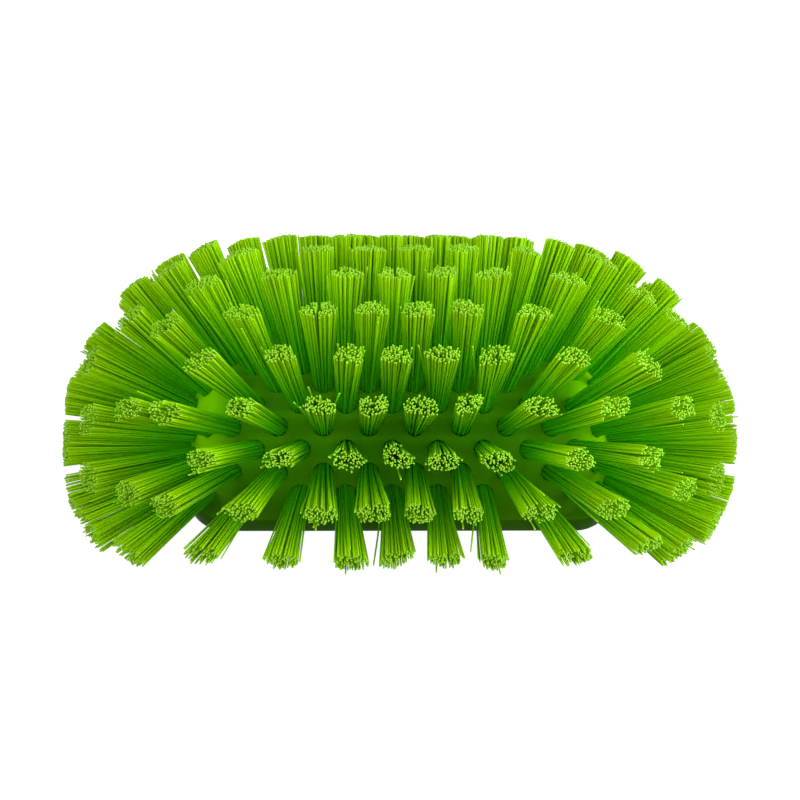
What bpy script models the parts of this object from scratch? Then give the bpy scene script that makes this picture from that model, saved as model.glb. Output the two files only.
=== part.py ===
"""Scrub brush head: a crowned plastic block with rows of stiff tufts that fan out over its front, back and ends.

The block lies on its flat back, +Z up, with its length along X and the origin under its middle.
The drilled face is turned about one line, the fan axis, which runs along X inside the block.
A tuft's pitch is its angle about the fan axis, from level at the front (-Y) over the top to level at the back.
A tuft's lean is its angle out of the plane that crosses the block, towards the nearer end.
"""

import math

import bmesh
import bpy
from mathutils import Matrix, Vector

MM = 0.001

# Block
BLOCK_LENGTH = 135.4 * MM
BLOCK_WIDTH = 60.0 * MM
RIM_HEIGHT = 7.8 * MM
RIM_CORNER = 12.0 * MM
BACK_EDGE_ROUND = 1.0 * MM
RIM_TOP_ROUND = 0.8 * MM
RIM_STEP = 0.6 * MM
FAN_AXIS_HEIGHT = 5.5 * MM
NOSE_LENGTH = 25.0 * MM
NOSE_SQUARENESS = 2.5

# Handle socket in the back
SOCKET_DIAMETER = 19.5 * MM
SOCKET_END_WALL = 5.6 * MM
SOCKET_CHAMFER = 1.4 * MM

# Slices of the drilled face that carry the tufts
SLICE_THICKNESS = 8.0 * MM
END_SLICE_LENGTH = 10.1 * MM
END_SLICE_FLOOR = 2.2 * MM
SEAT_GAP = 0.3 * MM

# Tuft pattern
ROW_COUNT = 10
ROW_STEP = math.radians(14.15)
COLUMN_PITCH = 14.4 * MM
STAGGER_SHARE = 0.25
LEAN_LENGTH = 35.1 * MM
LEAN_RADIUS = 54.0 * MM
FREE_LENGTH = 37.6 * MM

# Rings of tufts on the right end: the share of the end slice where a ring starts, its lean in degrees,
# its share of the free length, and the pitch in degrees of each of its tufts
END_RING_SHARES = (
    (0.386, 41.0, 1.00, (16, 42, 71, 109, 138, 164)),
    (0.832, 58.5, 1.03, (6, 40, 72, 108, 140, 174)),
    (0.970, 68.7, 1.08, (3, 177)),
    (0.970, 75.6, 1.08, (58, 122)),
    (1.000, 89.0, 1.08, (90,)),
)

# Drilled hole mouths, and the strands in them as shares of the tuft's diameter
HOLE_DIAMETER = 6.0 * MM
HOLE_MOUTH_DEPTH = 1.2 * MM
HOLE_SIDES = 6
TUFT_ROOT_SHARE = 0.76
TUFT_TIP_DIAMETER = 9.6 * MM
STRANDS_PER_TUFT = 3
STRAND_SIDES = 3
STRAND_RING_SHARE = 0.3
STRAND_WIDTH_SHARE = 0.4
STRAND_SINK = 1.0 * MM
STRAND_TURN = math.radians(33)

# Roundness of the turned and bevelled shapes
NOSE_SEGMENTS = 6
FACE_SEGMENTS_PER_ROW = 1
SIDE_SEGMENTS = 2
CORNER_SEGMENTS = 6
EDGE_SEGMENTS = 2
SOCKET_SIDES = 24

# How far every cutter runs past what it cuts
OVERRUN = 5.0 * MM

BLOCK_GREEN = (0.090, 0.318, 0.0, 1.0)
FILAMENT_GREEN = (0.262, 0.558, 0.002, 1.0)

NOSE_START = BLOCK_LENGTH / 2 - NOSE_LENGTH
FACE_RADIUS = BLOCK_WIDTH / 2 - RIM_STEP
SLICE_HALF_LENGTH = BLOCK_LENGTH / 2 - END_SLICE_LENGTH
SOCKET_DEPTH = FAN_AXIS_HEIGHT + FACE_RADIUS - SLICE_THICKNESS - SEAT_GAP - SOCKET_END_WALL
TUFT_ROOT_DIAMETER = TUFT_ROOT_SHARE * HOLE_DIAMETER
FIRST_PITCH = math.pi / 2 - ROW_STEP * (ROW_COUNT - 1) / 2
LAST_PITCH = math.pi - FIRST_PITCH


def face_radius(x):
    """Distance of the drilled face from the fan axis, which falls off in a full curve over the nose."""
    share = min(max(abs(x) - NOSE_START, 0) / NOSE_LENGTH, 1)
    return FACE_RADIUS * (1 - share ** NOSE_SQUARENESS) ** (1 / NOSE_SQUARENESS)


def on_fan(x, radius, pitch):
    """The point at a distance from the fan axis and at a pitch."""
    return Vector((x, -radius * math.cos(pitch), FAN_AXIS_HEIGHT + radius * math.sin(pitch)))


def tuft_direction(pitch, lean):
    """Unit vector along a tuft."""
    across = math.cos(lean)
    return Vector((math.sin(lean), -across * math.cos(pitch), across * math.sin(pitch)))


def columns():
    """Where the tufts of a row stand along X: every place of the pattern whose hole fits in the slice."""
    reach = SLICE_HALF_LENGTH - HOLE_DIAMETER / 2
    last = math.ceil(reach / COLUMN_PITCH)
    places = [(step - STAGGER_SHARE) * COLUMN_PITCH for step in range(-last, last + 1)]
    return [x for x in places if abs(x) < reach]


def row_tufts(row):
    """Root, direction and free length of each tuft of a row. Every second row is turned end for end."""
    turn = 1 if row % 2 == 0 else -1
    pitch = FIRST_PITCH + ROW_STEP * row
    lean_start = SLICE_HALF_LENGTH - LEAN_LENGTH
    tufts = []
    for place in columns():
        x = turn * place
        lean = math.copysign(max(abs(x) - lean_start, 0) / LEAN_RADIUS, x)
        tufts.append((on_fan(x, face_radius(x), pitch), tuft_direction(pitch, lean), FREE_LENGTH))
    return tufts


def end_tufts():
    """Root, direction and free length of each tuft of the right end."""
    tufts = []
    for slice_share, lean, length_share, pitches in END_RING_SHARES:
        x = SLICE_HALF_LENGTH + slice_share * END_SLICE_LENGTH
        for degrees in pitches:
            pitch = math.radians(degrees)
            direction = tuft_direction(pitch, math.radians(lean))
            tufts.append((on_fan(x, face_radius(x), pitch), direction, length_share * FREE_LENGTH))
    return tufts


def new_object(name, mesh, collection):
    """Put a mesh in the scene under its name."""
    made = bpy.data.objects.new(name, mesh)
    collection.objects.link(made)
    return made


def mesh_from(name, shape):
    """Turn an edited shape into a mesh whose faces point outwards."""
    bmesh.ops.recalc_face_normals(shape, faces=shape.faces)
    mesh = bpy.data.meshes.new(name)
    shape.to_mesh(mesh)
    shape.free()
    return mesh


def new_cutter(name, shape):
    """Put a shape that only cuts or joins in the cutters' collection."""
    cutter = new_object(name, mesh_from(name, shape), cutters)
    cutter.hide_render = True
    cutter.display_type = "WIRE"
    return cutter


def cut(target, operation, cutter):
    """Join, cut or keep with another solid, and leave the result as the target's own mesh."""
    modifier = target.modifiers.new(operation.lower(), "BOOLEAN")
    modifier.operation = operation
    modifier.object = cutter
    modifier.solver = "EXACT"
    bpy.context.view_layer.update()
    evaluated = target.evaluated_get(bpy.context.evaluated_depsgraph_get())
    result = bpy.data.meshes.new_from_object(evaluated)
    clean = bmesh.new()
    clean.from_mesh(result)
    bmesh.ops.remove_doubles(clean, verts=clean.verts, dist=SEAT_GAP / 1000)
    bmesh.ops.dissolve_degenerate(clean, edges=clean.edges, dist=SEAT_GAP / 1000)
    clean.to_mesh(result)
    clean.free()
    target.modifiers.clear()
    target.data = result


def add_box(shape, low, high):
    """Add a box between two corners."""
    size = [b - a for a, b in zip(low, high)]
    middle = [(a + b) / 2 for a, b in zip(low, high)]
    placed = Matrix.Translation(middle) @ Matrix.Diagonal((*size, 1))
    return bmesh.ops.create_cube(shape, size=1, matrix=placed)["verts"]


def add_rod(shape, start, direction, length, start_radius, end_radius, sides, turn=0.0):
    """Add a straight rod, round or tapered, that starts at a point."""
    facing = direction.to_track_quat("Z", "Y").to_matrix().to_4x4()
    placed = Matrix.Translation(start + direction * (length / 2)) @ facing @ Matrix.Rotation(turn, 4, "Z")
    bmesh.ops.create_cone(
        shape, cap_ends=True, segments=sides, radius1=start_radius, radius2=end_radius, depth=length, matrix=placed
    )


def spin_profile(profile, first_pitch, last_pitch, segments):
    """Turn a closed outline of (x, radius) pairs about the fan axis, from one pitch to another."""
    shape = bmesh.new()
    start = shape.faces.new([shape.verts.new(on_fan(x, radius, first_pitch)) for x, radius in profile])
    bmesh.ops.spin(
        shape,
        geom=[start, *start.edges, *start.verts],
        cent=(0, 0, FAN_AXIS_HEIGHT),
        axis=(-1, 0, 0),
        angle=last_pitch - first_pitch,
        steps=segments,
    )
    bmesh.ops.remove_doubles(shape, verts=shape.verts, dist=SEAT_GAP / 100)
    return shape


def face_profile(half_length):
    """Outline of the drilled face from one x to the other, straight between the noses."""
    right = []
    for step in range(NOSE_SEGMENTS + 1):
        quarter = math.pi / 2 * step / NOSE_SEGMENTS
        x = NOSE_START + NOSE_LENGTH * math.sin(quarter) ** (2 / NOSE_SQUARENESS)
        if x < half_length - SEAT_GAP:
            right.append((x, face_radius(x)))
    right.append((half_length, face_radius(half_length)))
    return [(-x, radius) for x, radius in reversed(right)] + right


def make_rim():
    """The straight-sided foot of the block, with round corners and softened edges."""
    shape = bmesh.new()
    half_length = BLOCK_LENGTH / 2
    half_width = BLOCK_WIDTH / 2
    add_box(shape, (-half_length, -half_width, 0), (half_length, half_width, RIM_HEIGHT))
    upright = [e for e in shape.edges if abs(e.verts[0].co.z - e.verts[1].co.z) > RIM_HEIGHT / 2]
    bmesh.ops.bevel(
        shape, geom=upright, offset=RIM_CORNER, segments=CORNER_SEGMENTS, profile=0.5, affect="EDGES"
    )
    for height, size in ((0, BACK_EDGE_ROUND), (RIM_HEIGHT, RIM_TOP_ROUND)):
        edge = [e for e in shape.edges if all(abs(v.co.z - height) < size / 2 for v in e.verts)]
        bmesh.ops.bevel(
            shape, geom=edge, offset=size, segments=EDGE_SEGMENTS, profile=0.5, affect="EDGES"
        )
    return shape


def make_blank():
    """The whole moulded block before it is sliced: the rim and the crowned, drilled face on it."""
    blank = new_object("blank", mesh_from("blank", make_rim()), cutters)
    below_level = math.asin((FAN_AXIS_HEIGHT / 2) / FACE_RADIUS)
    segments = FACE_SEGMENTS_PER_ROW * ROW_COUNT + 2 * SIDE_SEGMENTS
    outline = face_profile(BLOCK_LENGTH / 2)
    crown = new_cutter("crown", spin_profile(outline, -below_level, math.pi + below_level, segments))
    cut(blank, "UNION", crown)
    return blank


def make_block(blank):
    """The block under the tuft slices, with the handle socket in its back."""
    block = new_object("block", blank.data.copy(), brush)
    seat_radius = FACE_RADIUS - SLICE_THICKNESS - SEAT_GAP
    reach = SLICE_HALF_LENGTH + OVERRUN
    top_radius = FACE_RADIUS + OVERRUN
    seat = [(-reach, seat_radius), (-reach, top_radius), (reach, top_radius), (reach, seat_radius)]
    half_row = ROW_STEP / 2
    segments = FACE_SEGMENTS_PER_ROW * ROW_COUNT
    rows = spin_profile(seat, FIRST_PITCH - half_row, LAST_PITCH + half_row, segments)
    cut(block, "DIFFERENCE", new_cutter("row_seat", rows))
    for side in (-1, 1):
        inner = side * (SLICE_HALF_LENGTH - SEAT_GAP)
        outer = side * (BLOCK_LENGTH / 2 + OVERRUN)
        half_width = BLOCK_WIDTH / 2 + OVERRUN
        top = FAN_AXIS_HEIGHT + FACE_RADIUS + OVERRUN
        ends = bmesh.new()
        add_box(ends, (min(inner, outer), -half_width, END_SLICE_FLOOR), (max(inner, outer), half_width, top))
        cut(block, "DIFFERENCE", new_cutter("end_seat", ends))
    socket = bmesh.new()
    up = Vector((0, 0, 1))
    radius = SOCKET_DIAMETER / 2
    add_rod(socket, -OVERRUN * up, up, OVERRUN + SOCKET_DEPTH, radius, radius, SOCKET_SIDES)
    cut(block, "DIFFERENCE", new_cutter("socket", socket))
    mouth = bmesh.new()
    wide = radius + SOCKET_CHAMFER * 2
    add_rod(mouth, -SOCKET_CHAMFER * up, up, SOCKET_CHAMFER * 2, wide, radius, SOCKET_SIDES)
    cut(block, "DIFFERENCE", new_cutter("socket_mouth", mouth))
    return block


def add_tufts(carrier, tufts):
    """Drill the hole mouths of a slice and fuse the strands of each tuft to it."""
    mouths = bmesh.new()
    strands = bmesh.new()
    hole_radius = HOLE_DIAMETER / 2
    for index, (root, direction, free_length) in enumerate(tufts):
        floor = root - direction * HOLE_MOUTH_DEPTH
        add_rod(mouths, floor, direction, HOLE_MOUTH_DEPTH + OVERRUN, hole_radius, hole_radius, HOLE_SIDES)
        start = floor - direction * STRAND_SINK
        tip = root + direction * free_length
        side = direction.orthogonal().normalized()
        for strand in range(STRANDS_PER_TUFT):
            angle = STRAND_TURN * index + 2 * math.pi * strand / STRANDS_PER_TUFT
            out = Matrix.Rotation(angle, 3, direction) @ side
            foot = start + out * STRAND_RING_SHARE * TUFT_ROOT_DIAMETER
            along = tip + out * STRAND_RING_SHARE * TUFT_TIP_DIAMETER - foot
            add_rod(
                strands, foot, along.normalized(), along.length,
                STRAND_WIDTH_SHARE * TUFT_ROOT_DIAMETER / 2, STRAND_WIDTH_SHARE * TUFT_TIP_DIAMETER / 2,
                STRAND_SIDES, angle,
            )
    cut(carrier, "DIFFERENCE", new_cutter(carrier.name + "_holes", mouths))
    cut(carrier, "UNION", new_cutter(carrier.name + "_strands", strands))


def make_row(name, row):
    """One lengthwise slice of the drilled face with its row of tufts."""
    half_length = SLICE_HALF_LENGTH
    inner_radius = FACE_RADIUS - SLICE_THICKNESS
    outline = face_profile(half_length) + [(half_length, inner_radius), (-half_length, inner_radius)]
    middle = FIRST_PITCH + ROW_STEP * row
    half_row = ROW_STEP / 2 - SEAT_GAP / 2 / inner_radius
    shape = spin_profile(outline, middle - half_row, middle + half_row, FACE_SEGMENTS_PER_ROW)
    made = new_object(name, mesh_from(name, shape), brush)
    add_tufts(made, row_tufts(row))
    return made


def make_end(name, blank):
    """The slice that carries the tufts of the right end."""
    made = new_object(name, blank.data.copy(), brush)
    shape = bmesh.new()
    low = (SLICE_HALF_LENGTH + SEAT_GAP, -BLOCK_WIDTH / 2 - OVERRUN, END_SLICE_FLOOR + SEAT_GAP)
    high = (BLOCK_LENGTH / 2 + OVERRUN, BLOCK_WIDTH / 2 + OVERRUN, FAN_AXIS_HEIGHT + FACE_RADIUS + OVERRUN)
    add_box(shape, low, high)
    cut(made, "INTERSECT", new_cutter("end_share", shape))
    add_tufts(made, end_tufts())
    return made


def turned_copy(name, source):
    """The same slice turned end for end, for the other side of the brush."""
    made = new_object(name, source.data.copy(), brush)
    made.rotation_euler = (0, 0, math.pi)
    return made


def plastic(name, colour, roughness):
    """A plastic of one colour."""
    material = bpy.data.materials.new(name)
    material.use_nodes = True
    surface = material.node_tree.nodes["Principled BSDF"]
    surface.inputs["Base Color"].default_value = colour
    surface.inputs["Roughness"].default_value = roughness
    surface.inputs["Metallic"].default_value = 0.0
    return material


for old in list(bpy.data.objects):
    bpy.data.objects.remove(old, do_unlink=True)

brush = bpy.data.collections.new("scrub_brush")
cutters = bpy.data.collections.new("cutters")
bpy.context.scene.collection.children.link(brush)
bpy.context.scene.collection.children.link(cutters)

blank_block = make_blank()
make_block(blank_block)
for row_index in range(ROW_COUNT // 2):
    front = make_row("tuft_row_%02d" % (row_index + 1), row_index)
    turned_copy("tuft_row_%02d" % (ROW_COUNT - row_index), front)
right_end = make_end("tuft_end_right", blank_block)
turned_copy("tuft_end_left", right_end)
blank_block.hide_render = True
blank_block.display_type = "WIRE"

for piece in brush.objects:
    colour = BLOCK_GREEN if piece.name == "block" else FILAMENT_GREEN
    piece.data.materials.clear()
    piece.data.materials.append(plastic(piece.name + "_plastic", colour, 0.45))
    piece.data.shade_smooth()
    piece.data.set_sharp_from_angle(angle=math.radians(30))
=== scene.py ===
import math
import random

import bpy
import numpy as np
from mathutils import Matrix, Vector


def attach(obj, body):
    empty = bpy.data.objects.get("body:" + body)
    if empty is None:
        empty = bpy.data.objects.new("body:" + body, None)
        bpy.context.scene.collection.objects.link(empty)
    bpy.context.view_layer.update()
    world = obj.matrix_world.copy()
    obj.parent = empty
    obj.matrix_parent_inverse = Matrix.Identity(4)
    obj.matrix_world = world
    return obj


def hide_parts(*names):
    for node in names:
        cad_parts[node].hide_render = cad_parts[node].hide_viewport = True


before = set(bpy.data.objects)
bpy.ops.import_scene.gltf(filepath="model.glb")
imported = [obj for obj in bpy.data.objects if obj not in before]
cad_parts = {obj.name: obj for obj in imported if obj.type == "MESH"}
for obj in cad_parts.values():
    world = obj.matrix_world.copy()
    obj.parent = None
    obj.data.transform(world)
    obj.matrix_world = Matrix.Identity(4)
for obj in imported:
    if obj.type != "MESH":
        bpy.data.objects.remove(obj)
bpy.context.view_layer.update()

# Looks of a scrub brush head: one moulded block, drilled all over and threaded in its back for a handle,
# and 114 tufts of stiff monofilament that fan out over its front, back and ends.
# The block lies on its flat back. Its length is X, and the fan axis runs along X inside it.
# A tuft's pitch is its angle about the fan axis, from level at the front over the top to level at the back.
# A tuft's lean is its angle out of the plane across the block, towards the nearer end.

MM = 0.001

# Block, as the solids have it
BLOCK_LENGTH = 135.4 * MM
BLOCK_WIDTH = 60.0 * MM
RIM_HEIGHT = 7.8 * MM
RIM_CORNER = 12.0 * MM
BACK_EDGE_ROUND = 0.4 * MM
RIM_TOP_ROUND = 0.8 * MM
FAN_AXIS_HEIGHT = 5.5 * MM
FACE_RADIUS = 29.4 * MM
NOSE_LENGTH = 25.0 * MM
NOSE_SQUARENESS = 2.5
NOSE_START = BLOCK_LENGTH / 2 - NOSE_LENGTH
SLICE_HALF_LENGTH = 57.6 * MM
END_SLICE_LENGTH = 10.1 * MM

# How finely the block's curves are stepped
RIM_CORNER_STEPS = 16
BACK_EDGE_STEPS = 4
RIM_TOP_STEPS = 3
NOSE_STEPS = 20
CROWN_STEPS = 72
MERGE_DISTANCE = 0.002 * MM
BLOCK_SMOOTHING = math.radians(35)

# Socket for a threaded handle
SOCKET_RADIUS = 9.75 * MM
SOCKET_DEPTH = 21.0 * MM
SOCKET_CHAMFER = 1.4 * MM
SOCKET_SIDES = 96
THREAD_PITCH = 5.08 * MM
THREAD_HEIGHT = 1.5 * MM
THREAD_BASE = 3.1 * MM
THREAD_CREST_SHARE = 0.6
THREAD_ROOT = 0.4 * MM
THREAD_START = 3.6 * MM
THREAD_TURNS = 3
THREAD_STEPS = 48

# Tuft pattern
ROW_COUNT = 10
ROW_STEP = math.radians(14.15)
FIRST_PITCH = math.pi / 2 - ROW_STEP * (ROW_COUNT - 1) / 2
COLUMN_STEP = 14.4 * MM
COLUMN_SHIFT = 0.25
COLUMNS = [(step - COLUMN_SHIFT) * COLUMN_STEP for step in range(-3, 5)]
LEAN_START = 22.5 * MM
LEAN_RADIUS = 54.0 * MM
FREE_LENGTH = 37.6 * MM
# Rings of an end: place along the end slice, lean in degrees, share of the free length, and pitches in degrees
END_RINGS = (
    (0.386, 41.0, 1.00, (16, 42, 71, 109, 138, 164)),
    (0.832, 58.5, 1.03, (6, 40, 72, 108, 140, 174)),
    (0.970, 68.7, 1.08, (3, 177)),
    (0.970, 75.6, 1.08, (58, 122)),
    (1.000, 89.0, 1.08, (90,)),
)

# Drilled holes and filaments
HOLE_RADIUS = 3.15 * MM
HOLE_DEPTH = 3.4 * MM
HOLE_SIDES = 20
FILAMENTS_PER_TUFT = 96
FILAMENT_RADIUS = 0.27 * MM
FILAMENT_SIDES = 6
FILAMENT_RINGS = (0.33, 0.66, 0.99)
FILAMENT_SMOOTHING = math.radians(65)
CLOSE_TO_X = 0.7
ROOT_DEPTH = 2.8 * MM
ROOT_SPREAD = 2.75 * MM

# Half the width of a tuft at its tips: along its fan, across it, and across it where it leans out level. Leaning
# tufts and low ones splay further along the fan.
FAN_SPREAD = 5.2 * MM
THIN_SPREAD = 3.0 * MM
END_SPREAD = 7.4 * MM
LEAN_SPLAY = 1.5 * MM
LOW_SPLAY = 1.4 * MM
SPLAY_PITCH = math.radians(30)

# How one tuft differs from the next
FAN_TURN = math.radians(10)
FAN_RANGE = (0.90, 1.10)
THIN_RANGE = (0.90, 1.12)
MOST_PARTING = 0.10
SWAY = 0.35 * MM
CUT_TILTS = (0.04, 0.05)
CLUMPS_PER_TUFT = 8
CLUMP_PULL = 0.10
# Waves in the outline of its tips: along the fan (0) or across it (1), their count round the tuft, and their share
# of the spread
TIP_WAVES = ((0, 2, 0.15), (0, 3, 0.15), (1, 2, 0.25), (1, 3, 0.20))
WAVE_RANGE = (0.1, 0.45)

# How one filament differs from the next
GOLDEN_ANGLE = math.pi * (3 - math.sqrt(5))
ANGLE_SHIFT = 0.12
TIP_SHIFT = (0.24 * MM, 0.22 * MM)
CUT_DROP = (0.9 * MM, 0.3 * MM)
CUT_SHIFT = 0.15 * MM
BOW_SHIFT = 0.22 * MM
BOW_SHARE = 0.10
STRAY_START = 0.70
STRAY_CHANCE = 0.06
STRAY_REACH = 1.6 * MM
STRAY_THINNESS = 0.8
LONGEST_STRAY = 4.0 * MM

# The series of random draws of each piece
ROW_SEEDS = (41100, 101, 102, 103, 104, 4105, 54106, 52107, 24108, 41109)
RIGHT_END_SEED = 14200
LEFT_END_SEED = 18201

# Filament colours at shares of its length, from the root to the cut end (painted shade at the root, a painted glow
# at the cut end), and its range of brightness
FILAMENT_PAINTED_GLOW_AND_SHADE = (
    (0.00, "#3CC204"),
    (0.35, "#5ACE04"),
    (0.80, "#94DC04"),
    (0.99, "#A6DE0A"),
    (1.00, "#A0E038"),
)
FILAMENT_SHADES = (0.80, 1.16)

# Plastic of the block. The real grain is about 0.1 mm across. It is drawn 0.4 mm across, so that it shows in the
# render.
CLOUD_SIZE = 25.0 * MM
CLOUD_COLOURS = ((0.35, "#458C04"), (0.65, "#4F9804"))
GRAIN_SIZE = 0.4 * MM
GRAIN_HEIGHT = 0.05 * MM
FACE_ROUGHNESS = (0.40, 0.52)
RIM_ROUGHNESS = 0.28
# Painted shade: the share of brightness left on the rim and back
RIM_PAINTED_SHADE = 0.56
# Painted light: a lighter colour on the upper end of each nose, within these X and Z ranges
PAINTED_NOSE_LIGHT_COLOUR = "#78C800"
PAINTED_NOSE_LIGHT_X = (52.0 * MM, 60.0 * MM)
PAINTED_NOSE_LIGHT_Z = (12.0 * MM, 22.0 * MM)

# Studio: its floor and sky as the camera sees them and as they light the brush, and its soft lamps with their
# places in metres, widths in metres and powers in watts
FLOOR_SIZE = 8
FLOOR_DROP = 0.1 * MM
SEEN_FLOOR_COLOUR = "#B4B4B4"
SEEN_FLOOR_GLOW = 0.86
LIGHTING_FLOOR_COLOUR = "#484848"
SEEN_SKY = 1.0
LIGHTING_SKY = 0.22
LAMP_AIM = Vector((0, 0, 30 * MM))
SOFTBOXES = (
    ("front_softbox", (0.0, -0.75, 0.95), 0.8, 3.8),
    ("left_softbox", (-0.85, 0.0, 0.80), 0.8, 2.9),
    ("left_front_softbox", (-0.65, -0.60, 0.75), 0.8, 1.4),
    ("low_left_softbox", (-1.10, 0.0, 0.40), 0.6, 4.5),
    ("right_softbox", (0.85, 0.0, 0.80), 0.8, 4.8),
    ("right_front_softbox", (0.65, -0.60, 0.75), 0.8, 2.0),
    ("low_right_softbox", (1.10, 0.0, 0.40), 0.6, 10.2),
    ("back_softbox", (0.30, 1.05, 0.45), 0.8, 3.0),
)

# Camera: it looks down on the brush from the front, a little from the left
CAMERA_ELEVATION = math.radians(59.5)
CAMERA_DISTANCE = 1.0
CAMERA_SIDE = -45 * MM
CAMERA_TURN = math.radians(-2.585)
CAMERA_TILT = math.radians(0.77)
LENS_LENGTH = 139.5
SENSOR_WIDTH = 36
CLIP_END = 20


def linear(code):
    """The linear colour of an sRGB hex code."""
    channels = [int(code[i:i + 2], 16) / 255 for i in (1, 3, 5)]
    return (*[c / 12.92 if c <= 0.04045 else ((c + 0.055) / 1.055) ** 2.4 for c in channels], 1.0)


# Materials. The mix node's colour sockets are known by number, because its plain ones have the same names.
MIX_COLOUR_A, MIX_COLOUR_B, MIX_COLOUR_RESULT = 6, 7, 2


def add_node(owner, kind, settings=None, inputs=None, links=None):
    """Add a node with its settings, its input values, and its links as {input: (node, output)}."""
    node = owner.node_tree.nodes.new(kind)
    for name, value in (settings or {}).items():
        setattr(node, name, value)
    for name, value in (inputs or {}).items():
        node.inputs[name].default_value = value
    for name, (source, output) in (links or {}).items():
        owner.node_tree.links.new(source.outputs[output], node.inputs[name])
    return node


def new_material(name):
    """A material with no nodes yet."""
    material = bpy.data.materials.new(name)
    material.use_nodes = True
    material.node_tree.nodes.clear()
    return material


def set_ramp(node, stops):
    """Set a colour ramp's stops from (position, hex) pairs."""
    ramp = node.color_ramp
    while len(ramp.elements) > len(stops):
        ramp.elements.remove(ramp.elements[-1])
    while len(ramp.elements) < len(stops):
        ramp.elements.new(1.0)
    for element, (position, code) in zip(ramp.elements, stops):
        element.position = position
        element.color = linear(code)


def map_range(owner, source, output, start=(0, 1), result=(0, 1)):
    """A node that maps one value, from the start range to the result range."""
    return add_node(
        owner, "ShaderNodeMapRange",
        inputs={"From Min": start[0], "From Max": start[1], "To Min": result[0], "To Max": result[1]},
        links={"Value": (source, output)},
    )


def drawn_polyester():
    """Drawn polyester (PBT) monofilament, dyed lime through and through, cut flush after filling.

    Its colour along its length is painted light: a painted yellow-green glow at the cut ends and painted deep
    green shade at the roots.
    """
    material = new_material("drawn_polyester_filament")
    along = add_node(material, "ShaderNodeAttribute", {"attribute_name": "along"})
    tone = add_node(material, "ShaderNodeAttribute", {"attribute_name": "tone"})
    # Painted light along the filament: painted shade towards the root and a painted glow at the cut end
    depth = add_node(material, "ShaderNodeValToRGB", links={"Fac": (along, "Fac")})
    set_ramp(depth, FILAMENT_PAINTED_GLOW_AND_SHADE)
    shift = map_range(material, tone, "Fac", result=FILAMENT_SHADES)
    colour = add_node(
        material, "ShaderNodeHueSaturation", links={"Color": (depth, "Color"), "Value": (shift, "Result")}
    )
    surface = add_node(
        material, "ShaderNodeBsdfPrincipled",
        inputs={
            "Roughness": 0.42, "IOR": 1.5, "Specular IOR Level": 0.08, "Specular Tint": linear("#C8FF60"),
        },
        links={"Base Color": (colour, "Color")},
    )
    add_node(material, "ShaderNodeOutputMaterial", links={"Surface": (surface, "BSDF")})
    return material


def moulded_polypropylene():
    """Injection-moulded polypropylene, dyed lime: satin, with faint flow clouds and a fine spark-eroded grain."""
    material = new_material("moulded_polypropylene_block")
    place = add_node(material, "ShaderNodeTexCoord")
    clouds = add_node(
        material, "ShaderNodeTexNoise",
        inputs={"Scale": 1 / CLOUD_SIZE, "Detail": 2.0}, links={"Vector": (place, "Object")},
    )
    cloudy = add_node(material, "ShaderNodeValToRGB", links={"Fac": (clouds, "Fac")})
    set_ramp(cloudy, CLOUD_COLOURS)
    # Painted light: the colour is lightened towards the upper end of each nose, as if lit there.
    where = add_node(material, "ShaderNodeSeparateXYZ", links={"Vector": (place, "Object")})
    outwards = add_node(material, "ShaderNodeMath", {"operation": "ABSOLUTE"}, links={0: (where, "X")})
    nose = map_range(material, outwards, "Value", start=PAINTED_NOSE_LIGHT_X)
    upper = map_range(material, where, "Z", start=PAINTED_NOSE_LIGHT_Z)
    painted_nose_light = add_node(
        material, "ShaderNodeMath", {"operation": "MULTIPLY"}, links={0: (nose, "Result"), 1: (upper, "Result")}
    )
    colour = add_node(
        material, "ShaderNodeMix", {"data_type": "RGBA"},
        inputs={MIX_COLOUR_B: linear(PAINTED_NOSE_LIGHT_COLOUR)},
        links={"Factor": (painted_nose_light, "Value"), MIX_COLOUR_A: (cloudy, "Color")},
    )
    # The rim and back are left smooth from the mould and glossier than the eroded face; their colour is darkened
    # there as painted shade.
    face = map_range(material, where, "Z", start=(RIM_HEIGHT - RIM_TOP_ROUND, RIM_HEIGHT))
    painted_rim_shade = map_range(material, face, "Result", result=(RIM_PAINTED_SHADE, 1.0))
    colour_with_painted_light_and_shade = add_node(
        material, "ShaderNodeHueSaturation",
        links={"Color": (colour, MIX_COLOUR_RESULT), "Value": (painted_rim_shade, "Result")},
    )
    grain = add_node(
        material, "ShaderNodeTexNoise",
        inputs={"Scale": 1 / GRAIN_SIZE, "Detail": 1.0}, links={"Vector": (place, "Object")},
    )
    gloss = map_range(material, grain, "Fac", result=FACE_ROUGHNESS)
    rough = add_node(
        material, "ShaderNodeMix",
        inputs={"A": RIM_ROUGHNESS}, links={"Factor": (face, "Result"), "B": (gloss, "Result")},
    )
    relief = add_node(
        material, "ShaderNodeBump",
        inputs={"Distance": GRAIN_HEIGHT}, links={"Height": (grain, "Fac"), "Strength": (face, "Result")},
    )
    surface = add_node(
        material, "ShaderNodeBsdfPrincipled",
        inputs={
            "IOR": 1.49, "Specular IOR Level": 0.01, "Specular Tint": linear("#A8F040"),
            "Subsurface Weight": 0.5, "Subsurface Radius": (0.6, 1.0, 0.1), "Subsurface Scale": 2.0 * MM,
        },
        links={"Base Color": (colour_with_painted_light_and_shade, "Color"), "Roughness": (rough, "Result"), "Normal": (relief, "Normal")},
    )
    add_node(material, "ShaderNodeOutputMaterial", links={"Surface": (surface, "BSDF")})
    return material


# Places of the tufts

def face_radius(x):
    """Distance of the drilled face from the fan axis."""
    share = min(max(abs(x) - NOSE_START, 0) / NOSE_LENGTH, 1)
    return FACE_RADIUS * (1 - share ** NOSE_SQUARENESS) ** (1 / NOSE_SQUARENESS)


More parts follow.
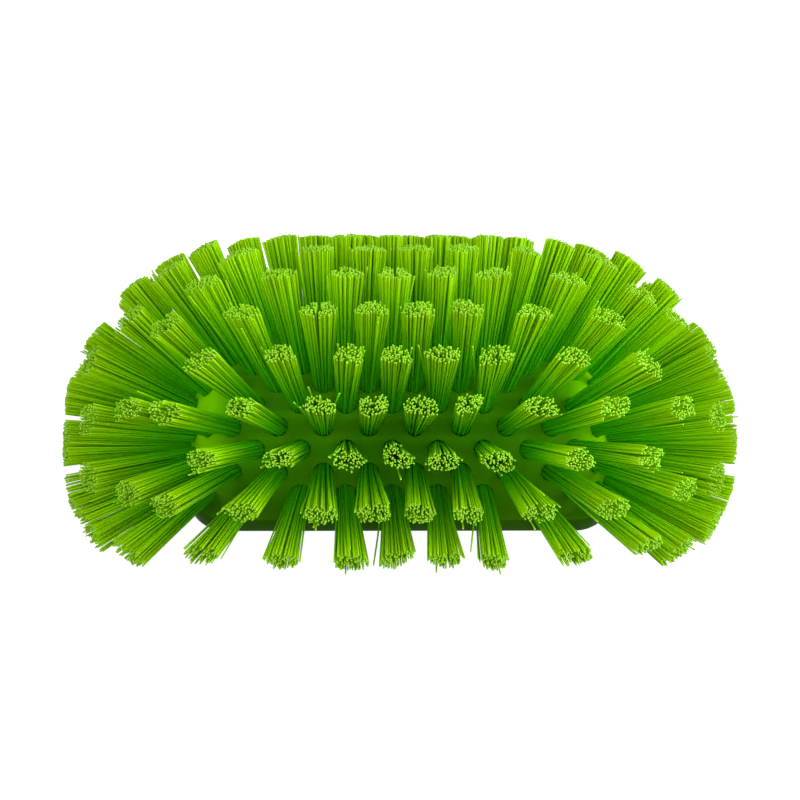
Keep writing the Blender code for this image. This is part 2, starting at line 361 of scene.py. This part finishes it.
def tuft_at(x, pitch, lean, length_share=1.0):
    """Root, direction, fan, spread along the fan and across it, and free length of a tuft.

    The fan is the way in which its two halves spread, lengthwise. The outermost tufts spread more across it too,
    and the lowest ones splay along the table.
    """
    radius = face_radius(x)
    level, rise = -math.cos(pitch), math.sin(pitch)
    root = Vector((x, radius * level, FAN_AXIS_HEIGHT + radius * rise))
    direction = Vector((math.sin(lean), math.cos(lean) * level, math.cos(lean) * rise))
    fan = Vector((math.cos(lean), -math.sin(lean) * level, -math.sin(lean) * rise))
    spread = FAN_SPREAD + LEAN_SPLAY * abs(math.sin(lean)) + LOW_SPLAY * max(0, 1 - rise / math.sin(SPLAY_PITCH))
    across = THIN_SPREAD + (END_SPREAD - THIN_SPREAD) * math.sin(lean) ** 4
    return root, direction, fan, spread, across, length_share * FREE_LENGTH


def row_tufts(row):
    """The tufts of a lengthwise row. Every second row is turned end for end."""
    turn = 1 if row % 2 == 0 else -1
    pitch = FIRST_PITCH + ROW_STEP * row
    tufts = []
    for column in COLUMNS:
        x = turn * column
        lean = math.copysign(max(abs(x) - LEAN_START, 0) / LEAN_RADIUS, x)
        tufts.append(tuft_at(x, pitch, lean))
    return tufts


def end_tufts(side):
    """The tufts of one end, the right one for side 1 and the left one for side -1."""
    tufts = []
    for slice_share, lean, length_share, pitches in END_RINGS:
        x = SLICE_HALF_LENGTH + slice_share * END_SLICE_LENGTH
        for pitch in pitches:
            tufts.append(tuft_at(side * x, math.radians(pitch), side * math.radians(lean), length_share))
    return tufts


# Modelling

def deselect():
    """Leave object mode's selection empty."""
    bpy.ops.object.select_all(action="DESELECT")


def take(piece):
    """Make one object the selected and active one."""
    deselect()
    piece.select_set(True)
    bpy.context.view_layer.objects.active = piece


def named(name):
    """Name the active object and its mesh."""
    piece = bpy.context.object
    piece.name = piece.data.name = name
    return piece


def apply_place():
    """Pass the selected object's place, turn and scale on to its mesh."""
    bpy.ops.object.transform_apply(location=True, rotation=True, scale=True)


def select_edges(piece, wanted):
    """Select, in edit mode, the edges whose two end points pass a test."""
    bpy.ops.mesh.select_all(action="DESELECT")
    bpy.ops.mesh.select_mode(type="EDGE")
    bpy.ops.object.mode_set(mode="OBJECT")
    points = piece.data.vertices
    for edge in piece.data.edges:
        edge.select = wanted(points[edge.vertices[0]].co, points[edge.vertices[1]].co)
    bpy.ops.object.mode_set(mode="EDIT")


def put_right(piece):
    """Merge doubled points, then turn all faces outwards."""
    take(piece)
    bpy.ops.object.mode_set(mode="EDIT")
    bpy.ops.mesh.select_all(action="SELECT")
    bpy.ops.mesh.remove_doubles(threshold=MERGE_DISTANCE)
    bpy.ops.mesh.normals_make_consistent(inside=False)
    bpy.ops.object.mode_set(mode="OBJECT")


def boolean(piece, operation, tool):
    """Join or cut a piece with a tool, which is then deleted."""
    take(piece)
    modifier = piece.modifiers.new(operation.lower(), "BOOLEAN")
    modifier.operation = operation
    modifier.object = tool
    modifier.solver = "EXACT"
    bpy.ops.object.modifier_apply(modifier=modifier.name)
    bpy.data.objects.remove(tool, do_unlink=True)


def model_rim():
    """The straight-sided foot of the block: a box with round corners and softened edges."""
    deselect()
    bpy.ops.mesh.primitive_cube_add(
        size=1, location=(0, 0, RIM_HEIGHT / 2), scale=(BLOCK_LENGTH, BLOCK_WIDTH, RIM_HEIGHT)
    )
    rim = named("moulded_block")
    apply_place()
    bpy.ops.object.mode_set(mode="EDIT")
    select_edges(rim, lambda a, b: abs(a.z - b.z) > RIM_HEIGHT / 2)
    bpy.ops.mesh.bevel(offset=RIM_CORNER, segments=RIM_CORNER_STEPS, affect="EDGES")
    select_edges(rim, lambda a, b: max(a.z, b.z) < BACK_EDGE_ROUND)
    bpy.ops.mesh.bevel(offset=BACK_EDGE_ROUND, segments=BACK_EDGE_STEPS, affect="EDGES")
    select_edges(rim, lambda a, b: min(a.z, b.z) > RIM_HEIGHT - RIM_TOP_ROUND)
    bpy.ops.mesh.bevel(offset=RIM_TOP_ROUND, segments=RIM_TOP_STEPS, affect="EDGES")
    bpy.ops.object.mode_set(mode="OBJECT")
    return rim


def model_crown():
    """The crowned face: half its outline extruded point by point, closed, and spun about the fan axis.

    The spin starts and ends inside the rim, half as high as the fan axis.
    """
    half = []
    for step in range(NOSE_STEPS + 1):
        quarter = math.pi / 2 * step / NOSE_STEPS
        x = NOSE_START + NOSE_LENGTH * math.sin(quarter) ** (2 / NOSE_SQUARENESS)
        half.append((x, face_radius(x)))
    outline = [(-x, radius) for x, radius in reversed(half)] + half
    start = -math.asin(FAN_AXIS_HEIGHT / 2 / FACE_RADIUS)
    points = [
        Vector((x, -radius * math.cos(start), FAN_AXIS_HEIGHT + radius * math.sin(start)))
        for x, radius in outline
    ]
    deselect()
    bpy.ops.mesh.primitive_plane_add(size=MM, location=points[0])
    crown = named("crown")
    apply_place()
    bpy.ops.object.mode_set(mode="EDIT")
    bpy.ops.mesh.select_mode(type="VERT")
    bpy.ops.mesh.select_all(action="SELECT")
    bpy.ops.mesh.merge(type="CENTER")
    for here, there in zip(points, points[1:]):
        bpy.ops.mesh.extrude_region_move(TRANSFORM_OT_translate={"value": there - here})
    bpy.ops.mesh.select_all(action="SELECT")
    bpy.ops.mesh.edge_face_add()
    bpy.ops.mesh.spin(
        steps=CROWN_STEPS, angle=math.pi - 2 * start, center=(0, 0, FAN_AXIS_HEIGHT), axis=(1, 0, 0), dupli=False
    )
    bpy.ops.object.mode_set(mode="OBJECT")
    put_right(crown)
    return crown


def model_drill():
    """The cutter of all the tuft holes: one round drill, copied to each tuft."""
    deselect()
    bpy.ops.mesh.primitive_cylinder_add(vertices=HOLE_SIDES, radius=HOLE_RADIUS, depth=2 * HOLE_DEPTH)
    first = named("drill")
    tufts = [tuft for row in range(ROW_COUNT) for tuft in row_tufts(row)] + end_tufts(1) + end_tufts(-1)
    drills = []
    for root, direction, *_ in tufts:
        drill = first.copy()
        drill.data = first.data.copy()
        bpy.context.scene.collection.objects.link(drill)
        drill.matrix_world = Matrix.Translation(root) @ direction.to_track_quat("Z", "Y").to_matrix().to_4x4()
        drills.append(drill)
    bpy.data.objects.remove(first, do_unlink=True)
    deselect()
    for drill in drills:
        drill.select_set(True)
    bpy.context.view_layer.objects.active = drills[0]
    bpy.ops.object.join()
    apply_place()
    return drills[0]


def model_thread():
    """The socket's thread: a tapered bar on the wall that climbs round it."""
    middle = SOCKET_RADIUS - THREAD_HEIGHT / 2
    deselect()
    bpy.ops.mesh.primitive_plane_add(
        size=1, location=(middle + THREAD_ROOT, 0, THREAD_START), rotation=(math.pi / 2, 0, 0)
    )
    thread = named("thread")
    thread.scale = (THREAD_HEIGHT + 2 * THREAD_ROOT, THREAD_BASE, 1)
    apply_place()
    bpy.ops.object.mode_set(mode="EDIT")
    bpy.ops.mesh.delete(type="ONLY_FACE")
    select_edges(thread, lambda a, b: max(a.x, b.x) < middle)
    bpy.ops.transform.resize(value=(1, 1, THREAD_CREST_SHARE))
    bpy.ops.object.mode_set(mode="OBJECT")
    climb = thread.modifiers.new("climb", "SCREW")
    climb.screw_offset = THREAD_PITCH
    climb.iterations = THREAD_TURNS
    climb.steps = climb.render_steps = THREAD_STEPS
    bpy.ops.object.modifier_apply(modifier=climb.name)
    bpy.ops.object.mode_set(mode="EDIT")
    bpy.ops.mesh.select_all(action="DESELECT")
    bpy.ops.mesh.select_mode(type="EDGE")
    bpy.ops.mesh.select_non_manifold()
    bpy.ops.mesh.fill_holes(sides=0)
    bpy.ops.object.mode_set(mode="OBJECT")
    put_right(thread)
    return thread


def model_socket():
    """The cutter of the handle socket: a round hole with a wide mouth, less the thread that stands in it."""
    deselect()
    bpy.ops.mesh.primitive_cylinder_add(vertices=SOCKET_SIDES, radius=SOCKET_RADIUS, depth=2 * SOCKET_DEPTH)
    socket = named("socket")
    boolean(socket, "DIFFERENCE", model_thread())
    deselect()
    bpy.ops.mesh.primitive_cone_add(
        vertices=SOCKET_SIDES,
        radius1=SOCKET_RADIUS + 2 * SOCKET_CHAMFER, radius2=SOCKET_RADIUS, depth=2 * SOCKET_CHAMFER,
    )
    boolean(socket, "UNION", named("mouth"))
    return socket


def model_block():
    """The moulded and drilled block."""
    block = model_rim()
    boolean(block, "UNION", model_crown())
    boolean(block, "DIFFERENCE", model_socket())
    boolean(block, "DIFFERENCE", model_drill())
    put_right(block)
    bpy.ops.object.shade_smooth_by_angle(angle=BLOCK_SMOOTHING)
    return block


def model_filament():
    """One filament, 1 long and 1 in radius, that stands on the origin, with rings at shares of its length."""
    deselect()
    bpy.ops.mesh.primitive_cylinder_add(
        vertices=FILAMENT_SIDES, radius=1, depth=1, end_fill_type="NGON", location=(0, 0, 0.5)
    )
    filament = named("filament")
    apply_place()
    bpy.ops.object.mode_set(mode="EDIT")
    for height in FILAMENT_RINGS:
        bpy.ops.mesh.select_all(action="SELECT")
        bpy.ops.mesh.bisect(plane_co=(0, 0, height), plane_no=(0, 0, 1))
    bpy.ops.object.mode_set(mode="OBJECT")
    return filament


def filament_lines(tuft, dice):
    """Root, bow and tip of each filament of a tuft, as three arrays of points, and its tone.

    A tuft is a bundle folded in half over its staple. Its halves part lengthwise, and its filaments lean together
    in clumps.
    """
    root, direction, fan, spread, across, length = tuft
    fan = Matrix.Rotation(dice.gauss(0, FAN_TURN), 3, direction) @ fan
    tuft_axes = np.array([fan, direction.cross(fan), direction])
    fan_spread = spread * dice.uniform(*FAN_RANGE)
    thin_spread = across * dice.uniform(*THIN_RANGE)
    parting = dice.uniform(0.0, MOST_PARTING)
    sway = [dice.gauss(0, SWAY), dice.gauss(0, SWAY)]
    waves = [(dice.uniform(0, 2 * math.pi), dice.uniform(*WAVE_RANGE)) for _ in TIP_WAVES]
    cut_tilt = [dice.gauss(0, tilt) for tilt in CUT_TILTS]
    clumps = [(dice.uniform(-1, 1), dice.uniform(-1, 1), dice.random()) for _ in range(CLUMPS_PER_TUFT)]
    lines = []
    for index in range(FILAMENTS_PER_TUFT):
        reach = math.sqrt((index + 0.5) / FILAMENTS_PER_TUFT)
        angle = index * GOLDEN_ANGLE + dice.uniform(-ANGLE_SHIFT, ANGLE_SHIFT)
        u, v = reach * math.cos(angle), reach * math.sin(angle)
        start = (ROOT_SPREAD * u, ROOT_SPREAD * v, -ROOT_DEPTH)
        tip = [u + math.copysign(parting * (1 - abs(u)), u), v]
        for (way, count, share), (phase, depth) in zip(TIP_WAVES, waves):
            tip[way] += share * depth * math.sin(count * angle + phase)
        clump_u, clump_v, clump_tone = min(clumps, key=lambda clump: (clump[0] - u) ** 2 + (clump[1] - v) ** 2)
        tip[0] += CLUMP_PULL * (clump_u - u)
        tip[1] += CLUMP_PULL * (clump_v - v)
        end_x = fan_spread * tip[0] + dice.gauss(0, TIP_SHIFT[0]) + sway[0]
        end_y = thin_spread * tip[1] + dice.gauss(0, TIP_SHIFT[1]) + sway[1]
        if reach > STRAY_START and dice.random() < STRAY_CHANCE:
            stray = min(dice.expovariate(1 / STRAY_REACH), LONGEST_STRAY)
            end_x += stray * math.cos(angle)
            end_y += stray * math.sin(angle) * STRAY_THINNESS
        end_z = length - CUT_DROP[0] * u ** 2 - CUT_DROP[1] * v ** 2
        end_z += cut_tilt[0] * end_x + cut_tilt[1] * end_y + dice.gauss(0, CUT_SHIFT)
        end = (end_x, end_y, end_z)
        bow = [(a + b) / 2 for a, b in zip(start, end)]
        bow[0] += dice.gauss(0, BOW_SHIFT) - BOW_SHARE * (end_x - start[0])
        bow[1] += dice.gauss(0, BOW_SHIFT) - BOW_SHARE * (end_y - start[1])
        lines.append((start, bow, end, (clump_tone + dice.random()) / 2))
    starts, bows, ends = (np.array([line[i] for line in lines]) @ tuft_axes + np.array(root) for i in range(3))
    return starts, bows, ends, np.array([line[3] for line in lines])


def bent_copies(shape, starts, bows, ends):
    """The points of a modelled filament copied along each line, at a filament's thickness."""
    height = shape[:, 2][None, :, None]
    centre = (
        (1 - height) ** 2 * starts[:, None]
        + 2 * height * (1 - height) * bows[:, None]
        + height ** 2 * ends[:, None]
    )
    axis = ends - starts
    axis /= np.linalg.norm(axis, axis=1)[:, None]
    # X helps to find a filament's sides, or Y where the filament itself lies close to X.
    helper = np.where(np.abs(axis[:, :1]) < CLOSE_TO_X, [[1.0, 0, 0]], [[0, 1.0, 0]])
    side = np.cross(axis, helper)
    side /= np.linalg.norm(side, axis=1)[:, None]
    other_side = np.cross(axis, side)
    ring = shape[None, :, 0, None] * side[:, None] + shape[None, :, 1, None] * other_side[:, None]
    return (centre + FILAMENT_RADIUS * ring).reshape(-1, 3)


def plant(name, tufts, filament, seed, nodes):
    """One piece of many tufts: the modelled filament copied along each line."""
    dice = random.Random(seed)
    gathered = [filament_lines(tuft, dice) for tuft in tufts]
    starts, bows, ends, tones = (np.concatenate([lines[i] for lines in gathered]) for i in range(4))
    ends[:, 2] = np.maximum(ends[:, 2], FILAMENT_RADIUS)
    shape = np.array([point.co for point in filament.data.vertices])
    faces = [list(face.vertices) for face in filament.data.polygons]
    per_copy = len(shape)
    mesh = bpy.data.meshes.new(name)
    mesh.from_pydata(
        bent_copies(shape, starts, bows, ends).tolist(), [],
        [[corner + copy * per_copy for corner in face] for copy in range(len(starts)) for face in faces],
    )
    for label, values in (("along", np.tile(shape[:, 2], len(starts))), ("tone", np.repeat(tones, per_copy))):
        attribute = mesh.attributes.new(label, "FLOAT", "POINT")
        attribute.data.foreach_set("value", values.astype(np.float32))
    piece = bpy.data.objects.new(name, mesh)
    bpy.context.scene.collection.objects.link(piece)
    take(piece)
    bpy.ops.object.shade_smooth_by_angle(angle=FILAMENT_SMOOTHING)
    mesh.materials.append(filament_material)
    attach(piece, "root")
    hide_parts(*nodes)


# Assembly

filament_material = drawn_polyester()
block_material = moulded_polypropylene()

block = model_block()
block.data.materials.clear()
block.data.materials.append(block_material)
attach(block, "root")
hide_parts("block")

one_filament = model_filament()
for row in range(ROW_COUNT):
    number = "%02d" % (row + 1)
    plant("filaments_row_" + number, row_tufts(row), one_filament, ROW_SEEDS[row], ["tuft_row_" + number])
plant("filaments_end_right", end_tufts(1), one_filament, RIGHT_END_SEED, ["tuft_end_right"])
plant("filaments_end_left", end_tufts(-1), one_filament, LEFT_END_SEED, ["tuft_end_left"])
bpy.data.objects.remove(one_filament, do_unlink=True)


# Floor, light and camera

def background_rays(owner):
    """A node that gives 1 to rays from the camera, off gloss or through something clear, and 0 to the rest."""
    rays = add_node(owner, "ShaderNodeLightPath")
    direct = add_node(
        owner, "ShaderNodeMath", {"operation": "MAXIMUM"},
        links={0: (rays, "Is Camera Ray"), 1: (rays, "Is Glossy Ray")},
    )
    return add_node(
        owner, "ShaderNodeMath", {"operation": "MAXIMUM"},
        links={0: (direct, "Value"), 1: (rays, "Is Transmission Ray")},
    )


def matt_paper():
    """Matt white paper floor. The camera sees it as white, and it gives the brush a softer bounce."""
    material = new_material("studio_floor")
    paper = add_node(material, "ShaderNodeBsdfDiffuse", inputs={"Color": linear(SEEN_FLOOR_COLOUR)})
    glow = add_node(
        material, "ShaderNodeEmission", inputs={"Color": (1, 1, 1, 1), "Strength": SEEN_FLOOR_GLOW}
    )
    seen = add_node(material, "ShaderNodeAddShader", links={0: (paper, "BSDF"), 1: (glow, "Emission")})
    dull = add_node(material, "ShaderNodeBsdfDiffuse", inputs={"Color": linear(LIGHTING_FLOOR_COLOUR)})
    mixed = add_node(
        material, "ShaderNodeMixShader",
        links={"Fac": (background_rays(material), "Value"), 1: (dull, "BSDF"), 2: (seen, "Shader")},
    )
    add_node(material, "ShaderNodeOutputMaterial", links={"Surface": (mixed, "Shader")})
    return material


def studio_sky():
    """White studio surroundings, seen brighter than they light the brush."""
    world = bpy.data.worlds.new("studio")
    world.use_nodes = True
    world.node_tree.nodes.clear()
    lighting, seen = (
        add_node(world, "ShaderNodeBackground", inputs={"Color": (1, 1, 1, 1), "Strength": strength})
        for strength in (LIGHTING_SKY, SEEN_SKY)
    )
    mixed = add_node(
        world, "ShaderNodeMixShader",
        links={"Fac": (background_rays(world), "Value"), 1: (lighting, "Background"), 2: (seen, "Background")},
    )
    add_node(world, "ShaderNodeOutputWorld", links={"Surface": (mixed, "Shader")})
    return world


def add_softbox(name, place, width, power):
    """A square soft lamp that points at the block."""
    deselect()
    aim = LAMP_AIM - Vector(place)
    bpy.ops.object.light_add(type="AREA", location=place, rotation=aim.to_track_quat("-Z", "Y").to_euler())
    lamp = bpy.context.object
    lamp.name = name
    lamp.data.shape = "SQUARE"
    lamp.data.size = width
    lamp.data.energy = power


deselect()
bpy.ops.mesh.primitive_plane_add(size=FLOOR_SIZE, location=(0, 0, -FLOOR_DROP))
floor = named("floor")
floor.data.materials.append(matt_paper())

bpy.context.scene.world = studio_sky()
for softbox in SOFTBOXES:
    add_softbox(*softbox)

turned = (
    Matrix.Rotation(math.pi / 2 - CAMERA_ELEVATION, 3, "X")
    @ Matrix.Rotation(CAMERA_TURN, 3, "Y")
    @ Matrix.Rotation(CAMERA_TILT, 3, "X")
)
deselect()
bpy.ops.object.camera_add(
    location=(
        CAMERA_SIDE,
        -CAMERA_DISTANCE * math.cos(CAMERA_ELEVATION),
        FAN_AXIS_HEIGHT + CAMERA_DISTANCE * math.sin(CAMERA_ELEVATION),
    ),
    rotation=turned.to_euler(),
)
camera = bpy.context.object
camera.data.lens = LENS_LENGTH
camera.data.sensor_width = SENSOR_WIDTH
camera.data.clip_end = CLIP_END
camera.data.dof.use_dof = False
bpy.context.scene.camera = camera
bpy.context.scene.view_settings.view_transform = "Standard"
